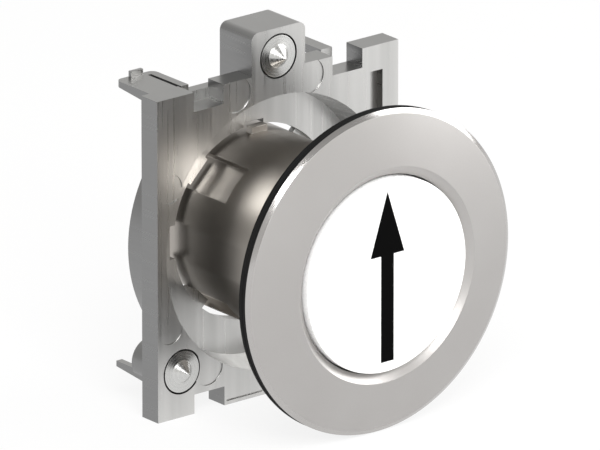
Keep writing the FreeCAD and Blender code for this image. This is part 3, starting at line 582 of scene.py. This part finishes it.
def softened(node, name, width, material):
    """A copy of a CAD node with its triangles merged and its edges rounded by width millimetres."""
    mesh = frame["nodes"][node].data.copy()
    mesh.name = name
    build = bmesh.new()
    build.from_mesh(mesh)
    bmesh.ops.remove_doubles(build, verts=build.verts, dist=0.001 * MM)
    bmesh.ops.dissolve_limit(build, angle_limit=FLAT_ANGLE, verts=build.verts, edges=build.edges)
    build.to_mesh(mesh)
    build.free()
    mesh.materials.clear()
    mesh.materials.append(material)
    if "custom_normal" in mesh.attributes:
        mesh.attributes.remove(mesh.attributes["custom_normal"])
    mesh.shade_smooth()
    mesh.set_sharp_from_angle(angle=EDGE_ANGLE)
    piece = bpy.data.objects.new(name, mesh)
    bpy.context.scene.collection.objects.link(piece)
    rounding = piece.modifiers.new("edges", "BEVEL")
    rounding.width = width * MM
    rounding.segments = 3
    rounding.limit_method = "ANGLE"
    rounding.angle_limit = EDGE_ANGLE
    rounding.use_clamp_overlap = True
    rounding.miter_outer = "MITER_ARC"
    weighted = piece.modifiers.new("flat faces", "WEIGHTED_NORMAL")
    weighted.keep_sharp = False
    weighted.weight = 100
    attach(piece, frame["nodes"][node]["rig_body"])
    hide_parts(node)
    print(name, "faces:", len(mesh.polygons))
    return piece


softened("barrel", "barrel_tube", 0.1, barrel_steel)
softened("holder_body", "holder_casting", 0.14, casting)

# %% [markdown]
# ## The clamp screws
#
# Each clamp screw has a round head with a cone point, which bites into the panel, and a threaded shank with a
# hexagon socket behind. The body of a screw is a profile carried round its own axis. Where the thread runs, the
# radius also follows the turn: it rises and falls once per pitch along the axis, shifted by the angle, which is
# what makes a helix out of a ring.


# %% One clamp screw
PITCH = 0.5
THREAD_DEPTH = 0.25
SOCKET_HALF = 0.75
SOCKET_DEPTH = 1.6
CONE = 1.45
SHANK = 1.5
HEAD_HEIGHT = 2.0
THREAD_ROWS = 110
SCREW_SEGMENTS = 96


def clamp_screw(node, body):
    """Points at (r, y, angle): r is the profile's radius, less depth * (0.5 - 0.5 cos(2 pi y / pitch - angle)) on the
    thread, and a / cos(angle from the middle of a flat) on the socket's hexagon."""
    low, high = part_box(node)
    x = (low[0] + high[0]) / 2 / MM
    z = (low[2] + high[2]) / 2 / MM
    head = (high[0] - low[0]) / 2 / MM
    tip = low[1] / MM
    rear = high[1] / MM
    head_front = tip + CONE
    head_back = head_front + HEAD_HEIGHT
    thread = np.linspace(head_back + 0.2, rear - 0.25, THREAD_ROWS)
    profile = np.vstack([
        [(0.0, tip), (0.06, tip + 0.03), (CONE - 0.04, head_front - 0.04), (CONE + 0.04, head_front)],
        [(head - 0.12, head_front), (head - 0.03, head_front + 0.03), (head, head_front + 0.12)],
        [(head, head_back - 0.1), (head - 0.1, head_back), (SHANK, head_back)],
        np.column_stack([np.full(THREAD_ROWS, SHANK), thread]),
        [(SHANK - 0.25, rear)],
    ])
    on_thread = (profile[:, 1] > head_back + 0.1) & (profile[:, 1] < rear - 0.2) & (profile[:, 0] > SHANK - 0.01)
    angle = np.linspace(0, 2 * np.pi, SCREW_SEGMENTS, endpoint=False)
    phase = 2 * np.pi * profile[:, 1][:, None] / PITCH - angle
    groove = THREAD_DEPTH * (0.5 - 0.5 * np.cos(phase)) * on_thread[:, None]
    r = profile[:, 0][:, None] - groove
    y = np.broadcast_to(profile[:, 1][:, None], r.shape)
    flat = SOCKET_HALF / np.cos((angle + np.pi / 6) % (np.pi / 3) - np.pi / 6)
    socket_r = np.stack([flat, flat, np.zeros(SCREW_SEGMENTS)])
    socket_y = np.repeat([[rear], [rear - SOCKET_DEPTH], [rear - SOCKET_DEPTH]], SCREW_SEGMENTS, axis=1)
    r = np.vstack([r, socket_r])
    y = np.vstack([y, socket_y])
    points = np.stack([x + r * np.cos(angle), y, z + r * np.sin(angle)], axis=-1).reshape(-1, 3)
    piece = new_piece(node + "_turned", points, grid_faces(len(r), SCREW_SEGMENTS, close_rows=False), body)
    piece.data.materials.append(plated_screw_steel(node + "_plated_steel", x, z))
    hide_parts(node)
    return piece


for screw in ("clamp_screw_top", "clamp_screw_lower_left", "clamp_screw_lower_right"):
    made = clamp_screw(screw, frame["nodes"][screw]["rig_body"])
    print(made.name, "faces:", len(made.data.polygons))

# %% [markdown]
# ## The parts inside and behind
#
# The pusher and its screw show from behind, so their edges are softened too. The rest is hidden inside the barrel
# and keeps its CAD mesh, with the finish of the real part.

# %% Finish the remaining pieces
softened("pusher", "pusher_disc", 0.1, nylon)
softened("plunger", "plunger_stem", 0.1, nylon)
pusher_steel = plated_screw_steel("pusher_screw_plated_steel", 0.0, 0.0)
softened("pusher_screw", "pusher_fastener", 0.08, pusher_steel)

finishes = {
    "barrel_o_ring": rubber,
    "lip_seal": rubber,
    "stop_bumper": rubber,
    "seal_washer": nylon,
    "front_guide_bush": nylon,
    "rear_guide_bush": nylon,
    "bezel_snap_ring": spring_steel,
    "return_spring": spring_steel,
    "spring_seat": spring_steel,
    "barrel_circlip": spring_steel,
}
for node, material in finishes.items():
    mesh = frame["nodes"][node].data
    mesh.materials.clear()
    mesh.materials.append(material)
print("CAD nodes kept:", sorted(finishes))

# %% [markdown]
# ## Floor and light
#
# The button lies in a white light tent. A wide pale floor meets the view everywhere, and it is drawn white to the
# camera and in reflections, with the object's soft shadow kept. The tent's roof is a gradient in the world: it is
# grey overhead and paler at the horizon, which gives the metal its slow change from dark to light. Two large
# softboxes light the object, and a small third one is there only to glint on the bezel's chamfer.

# %% The floor
FLOOR_SIZE = 3.0
GLOW_SHARE = 0.85
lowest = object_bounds()[0][2]


def paper_white():
    """Seamless white paper: mostly even white, with a little real shading so that a shadow stays."""
    material = new_material("seamless_paper")
    fibres = pattern(material, (0.6, 0.6, 0.6))
    tone = add_node(material, "Mix", {"Factor": fibres, COLOUR_A: linear("f4f4f4"), COLOUR_B: linear("f9f9f9")},
                    data_type="RGBA")
    lit = add_node(material, "BsdfDiffuse", {"Color": tone.outputs[COLOUR_OUT]})
    glow = add_node(material, "Emission", {"Color": (1, 1, 1, 1), "Strength": 1.0})
    path = add_node(material, "LightPath")
    seen = add_node(material, "Math", {0: path.outputs["Is Camera Ray"], 1: path.outputs["Is Glossy Ray"]},
                    operation="MAXIMUM")
    seen = add_node(material, "Math", {0: seen.outputs[0], 1: path.outputs["Is Transmission Ray"]},
                    operation="MAXIMUM")
    share = add_node(material, "Math", {0: seen.outputs[0], 1: GLOW_SHARE}, operation="MULTIPLY")
    mixed = add_node(material, "MixShader", {0: share.outputs[0], 1: lit.outputs[0], 2: glow.outputs[0]})
    add_node(material, "OutputMaterial", {"Surface": mixed.outputs[0]})
    return material


half = FLOOR_SIZE / 2 / MM
floor_mesh = bpy.data.meshes.new("floor")
floor_corners = [(-half, -half), (half, -half), (half, half), (-half, half)]
floor_mesh.from_pydata([(x * MM, y * MM, lowest) for x, y in floor_corners], [], [(0, 1, 2, 3)])
floor = bpy.data.objects.new("floor", floor_mesh)
bpy.context.scene.collection.objects.link(floor)
floor_mesh.materials.append(paper_white())
print("floor at z = %.4f m" % lowest)


# %% The world and the lamps
def light_tent():
    """A world whose brightness follows the height of the ray: pale at the horizon, grey overhead."""
    world = bpy.data.worlds.new("light_tent")
    world.use_nodes = True
    world.node_tree.nodes.clear()
    direction = add_node(world, "TexCoord").outputs["Generated"]
    height = add_node(world, "SeparateXYZ", {"Vector": direction}).outputs["Z"]
    level = add_node(world, "MapRange", {"Value": height, "From Min": 0.0, "From Max": 0.8,
                                         "To Min": 0.78, "To Max": 0.42})
    sky = add_node(world, "Background", {"Color": linear("fffefc"), "Strength": level.outputs["Result"]})
    add_node(world, "OutputWorld", {"Surface": sky.outputs[0]})
    bpy.context.scene.world = world


def softbox(name, place, size, watts, aim=(0.0, 0.01, 0.0)):
    """A square area lamp at a place in metres, turned to face the object."""
    lamp = bpy.data.lights.new(name, "AREA")
    lamp.shape = "SQUARE"
    lamp.size = size
    lamp.energy = watts
    stand = bpy.data.objects.new(name, lamp)
    stand.location = place
    direction = np.array(aim) - np.array(place)
    flat = math.hypot(direction[0], direction[1])
    stand.rotation_euler = (math.atan2(flat, -direction[2]), 0.0, math.atan2(-direction[0], direction[1]))
    bpy.context.scene.collection.objects.link(stand)
    return stand


light_tent()
LARGE, SMALL = 0.35, 0.12
softbox("key_softbox", (-0.25, -0.35, 0.40), LARGE, 3.0)
softbox("rim_softbox", (-0.083, -0.543, 0.24), SMALL, 0.6)
softbox("fill_softbox", (0.45, -0.20, 0.20), LARGE, 1.6)

# %% [markdown]
# ## The camera
#
# A long lens from far away flattens the view like a catalogue picture. The camera stands to the front left and a
# little above, and looks at the middle of the object.

# %% Place the camera
AZIMUTH = math.radians(-39.0)
ELEVATION = math.radians(19.4)
LENS = 1000.0
SENSOR = 36.0
IMAGE_WIDTH = 600
DOTS_PER_MM = 8.43
aim_point = np.array([3.28, 17.3, 0.03])

distance = LENS / SENSOR * IMAGE_WIDTH / DOTS_PER_MM
outward = np.array([
    math.sin(AZIMUTH) * math.cos(ELEVATION),
    -math.cos(AZIMUTH) * math.cos(ELEVATION),
    math.sin(ELEVATION),
])
camera_data = bpy.data.cameras.new("catalogue_camera")
camera_data.lens = LENS
camera_data.sensor_width = SENSOR
camera_data.clip_end = 20.0
camera = bpy.data.objects.new("catalogue_camera", camera_data)
camera.location = (aim_point + outward * distance) * MM
camera.rotation_euler = (math.pi / 2 - ELEVATION, 0.0, AZIMUTH)
bpy.context.scene.collection.objects.link(camera)
bpy.context.scene.camera = camera
print("camera %.2f m away" % (distance * MM))

# %% [markdown]
# ## Last settings
#
# The Standard view shows colours as they are written.

# %% Set the view transform
bpy.context.scene.view_settings.view_transform = "Standard"
